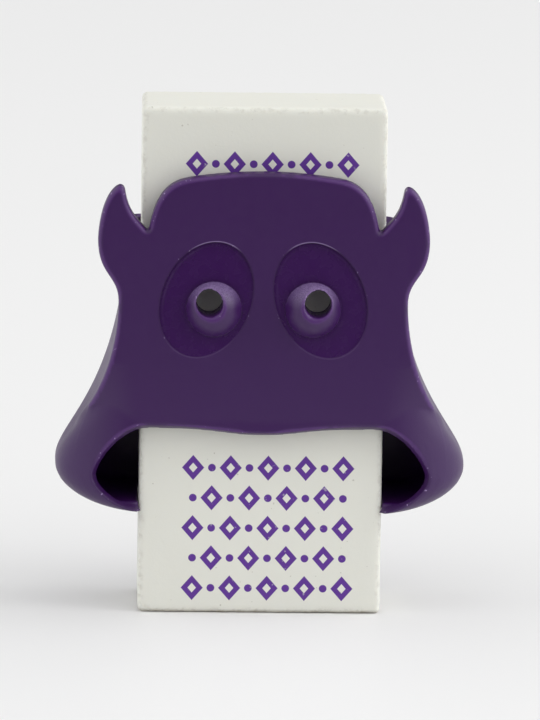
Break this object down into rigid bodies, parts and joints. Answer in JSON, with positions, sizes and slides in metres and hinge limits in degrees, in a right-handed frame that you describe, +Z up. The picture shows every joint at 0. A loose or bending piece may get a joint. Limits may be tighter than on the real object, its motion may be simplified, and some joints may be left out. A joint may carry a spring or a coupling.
{
  "type": "novelty eraser",
  "caption": "Upright block eraser in a slide-on plastic holder shaped as a horned monster's head with bored pupils and an open mouth.",
  "frame": {"origin": "centre of the block's lower end, on the surface that it stands on", "axes": "+X to the right of someone facing the mask, -Y out of the mask's face, +Z up along the block"},
  "size_m": [0.0484, 0.0205, 0.06],
  "materials": {
    "white_vinyl": "matte white vinyl with a purple print",
    "purple_plastic": "satin dark purple moulded plastic"
  },
  "bodies": {
    "eraser": {"eraser_block": "white_vinyl"},
    "holder": {"monster_holder": "purple_plastic"}
  },
  "joints": [
    {"name": "holder_slide", "type": "slide", "parent": "eraser", "child": "holder", "axis": [0, 0, 1], "range_m": [-0.0117, 0.0149]}
  ]
}
